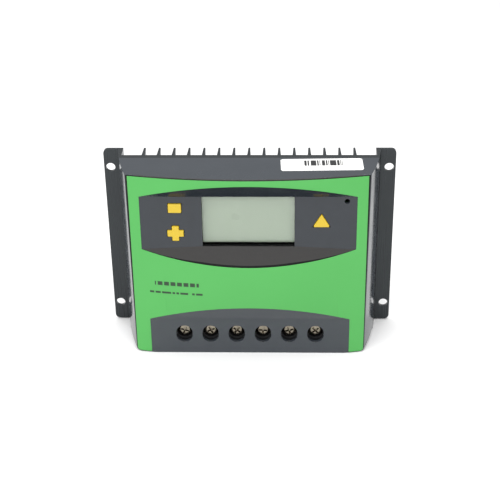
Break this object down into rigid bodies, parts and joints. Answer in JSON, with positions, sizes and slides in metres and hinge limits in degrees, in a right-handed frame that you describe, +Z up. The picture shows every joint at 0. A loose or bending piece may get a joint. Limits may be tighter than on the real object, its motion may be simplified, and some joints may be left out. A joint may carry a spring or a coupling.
{
  "type": "solar charge controller",
  "caption": "Wall-mounted solar charge controller: finned black heat sink with flanges, green convex cover, recessed display with keys, and a row of screw terminals.",
  "frame": {"origin": "centre of the four mounting holes, on the wall plane", "axes": "+X to the right seen from the front, +Y into the wall, +Z up"},
  "size_m": [0.188, 0.049, 0.1289],
  "materials": {
    "anodised_aluminium": "black anodised",
    "black_plastic": "moulded",
    "brass": "turned",
    "capacitor_sleeve": "shrink sleeve",
    "circuit_board": "solder mask",
    "clear_window": "clear acrylic",
    "cover_plastic": "fine spark texture, semi-gloss panels",
    "fuse_plastic": "tinted",
    "insulator": "thermal pad",
    "key_plastic": "satin moulded",
    "label_vinyl": "white paper label",
    "lcd": "reflective liquid crystal, unlit",
    "led_resin": "tinted resin, unlit",
    "light_guide": "milky acrylic",
    "nickel_steel": "dark nickel plated",
    "printed_film": "satin green film",
    "shunt_wire": "manganin wire",
    "steel": "zinc plated",
    "tinned_copper": "tinned copper",
    "tinned_metal": "tinned",
    "zinc_steel": "zinc plated"
  },
  "bodies": {
    "housing": {"blade_fuses": "fuse_plastic", "board_header": "black_plastic", "board_screws": "steel", "board_socket": "black_plastic", "board_standoffs": "brass", "capacitors": "capacitor_sleeve", "clamp_bars": "steel", "clamp_screws": "steel", "cover_screws": "steel", "current_shunts": "shunt_wire", "display_board": "circuit_board", "display_screws": "steel", "display_window": "clear_window", "front_cover": "cover_plastic", "front_film": "printed_film", "fuse_holders": "black_plastic", "heat_sink": "anodised_aluminium", "indicator_led": "led_resin", "insulating_sheet": "insulator", "lcd_backlight": "light_guide", "lcd_glass": "lcd", "lcd_holder": "black_plastic", "lcd_pins": "tinned_metal", "microcontroller": "black_plastic", "power_board": "circuit_board", "serial_label": "label_vinyl", "surface_parts": "black_plastic", "switch_housings": "black_plastic", "terminal_block": "black_plastic", "terminal_contacts": "tinned_copper", "transistor_bodies": "black_plastic", "transistor_leads": "tinned_metal", "transistor_pads": "insulator", "transistor_tabs": "tinned_metal"},
    "key_rectangle_body": {"key_rectangle": "key_plastic", "switch_plunger_rectangle": "black_plastic"},
    "key_plus_body": {"key_plus": "key_plastic", "switch_plunger_plus": "black_plastic"},
    "key_triangle_body": {"key_triangle": "key_plastic", "switch_plunger_triangle": "black_plastic"},
    "screw_body_1": {"terminal_screw_1": "nickel_steel"},
    "cage_body_1": {"terminal_cage_1": "zinc_steel"},
    "screw_body_2": {"terminal_screw_2": "nickel_steel"},
    "cage_body_2": {"terminal_cage_2": "zinc_steel"},
    "screw_body_3": {"terminal_screw_3": "nickel_steel"},
    "cage_body_3": {"terminal_cage_3": "zinc_steel"},
    "screw_body_4": {"terminal_screw_4": "nickel_steel"},
    "cage_body_4": {"terminal_cage_4": "zinc_steel"},
    "screw_body_5": {"terminal_screw_5": "nickel_steel"},
    "cage_body_5": {"terminal_cage_5": "zinc_steel"},
    "screw_body_6": {"terminal_screw_6": "nickel_steel"},
    "cage_body_6": {"terminal_cage_6": "zinc_steel"}
  },
  "joints": [
    {"name": "key_rectangle_press", "type": "slide", "parent": "housing", "child": "key_rectangle_body", "axis": [0, 1, 0], "range_m": [0, 0.0005], "stiffness_N_per_m": 2000, "springref_m": -0.0002},
    {"name": "key_plus_press", "type": "slide", "parent": "housing", "child": "key_plus_body", "axis": [0, 1, 0], "range_m": [0, 0.0005], "stiffness_N_per_m": 2000, "springref_m": -0.0002},
    {"name": "key_triangle_press", "type": "slide", "parent": "housing", "child": "key_triangle_body", "axis": [0, 1, 0], "range_m": [0, 0.0005], "stiffness_N_per_m": 2000, "springref_m": -0.0002},
    {"name": "terminal_screw_1_turn", "type": "hinge", "parent": "housing", "child": "screw_body_1", "pos_m": [-0.043, -0.036, -0.0502], "axis": [0, 1, 0], "range_deg": [0, 1620]},
    {"name": "terminal_cage_1_rise", "type": "slide", "parent": "housing", "child": "cage_body_1", "axis": [0, -1, 0], "range_m": [0, 0.0036]},
    {"name": "terminal_screw_2_turn", "type": "hinge", "parent": "housing", "child": "screw_body_2", "pos_m": [-0.0258, -0.036, -0.0502], "axis": [0, 1, 0], "range_deg": [0, 1620]},
    {"name": "terminal_cage_2_rise", "type": "slide", "parent": "housing", "child": "cage_body_2", "axis": [0, -1, 0], "range_m": [0, 0.0036]},
    {"name": "terminal_screw_3_turn", "type": "hinge", "parent": "housing", "child": "screw_body_3", "pos_m": [-0.0086, -0.036, -0.0502], "axis": [0, 1, 0], "range_deg": [0, 1620]},
    {"name": "terminal_cage_3_rise", "type": "slide", "parent": "housing", "child": "cage_body_3", "axis": [0, -1, 0], "range_m": [0, 0.0036]},
    {"name": "terminal_screw_4_turn", "type": "hinge", "parent": "housing", "child": "screw_body_4", "pos_m": [0.0086, -0.036, -0.0502], "axis": [0, 1, 0], "range_deg": [0, 1620]},
    {"name": "terminal_cage_4_rise", "type": "slide", "parent": "housing", "child": "cage_body_4", "axis": [0, -1, 0], "range_m": [0, 0.0036]},
    {"name": "terminal_screw_5_turn", "type": "hinge", "parent": "housing", "child": "screw_body_5", "pos_m": [0.0258, -0.036, -0.0502], "axis": [0, 1, 0], "range_deg": [0, 1620]},
    {"name": "terminal_cage_5_rise", "type": "slide", "parent": "housing", "child": "cage_body_5", "axis": [0, -1, 0], "range_m": [0, 0.0036]},
    {"name": "terminal_screw_6_turn", "type": "hinge", "parent": "housing", "child": "screw_body_6", "pos_m": [0.043, -0.036, -0.0502], "axis": [0, 1, 0], "range_deg": [0, 1620]},
    {"name": "terminal_cage_6_rise", "type": "slide", "parent": "housing", "child": "cage_body_6", "axis": [0, -1, 0], "range_m": [0, 0.0036]}
  ],
  "couplings": [
    {"joint": "terminal_screw_1_turn", "follows": "terminal_cage_1_rise", "rad_per_m": 7854},
    {"joint": "terminal_screw_2_turn", "follows": "terminal_cage_2_rise", "rad_per_m": 7854},
    {"joint": "terminal_screw_3_turn", "follows": "terminal_cage_3_rise", "rad_per_m": 7854},
    {"joint": "terminal_screw_4_turn", "follows": "terminal_cage_4_rise", "rad_per_m": 7854},
    {"joint": "terminal_screw_5_turn", "follows": "terminal_cage_5_rise", "rad_per_m": 7854},
    {"joint": "terminal_screw_6_turn", "follows": "terminal_cage_6_rise", "rad_per_m": 7854}
  ]
}
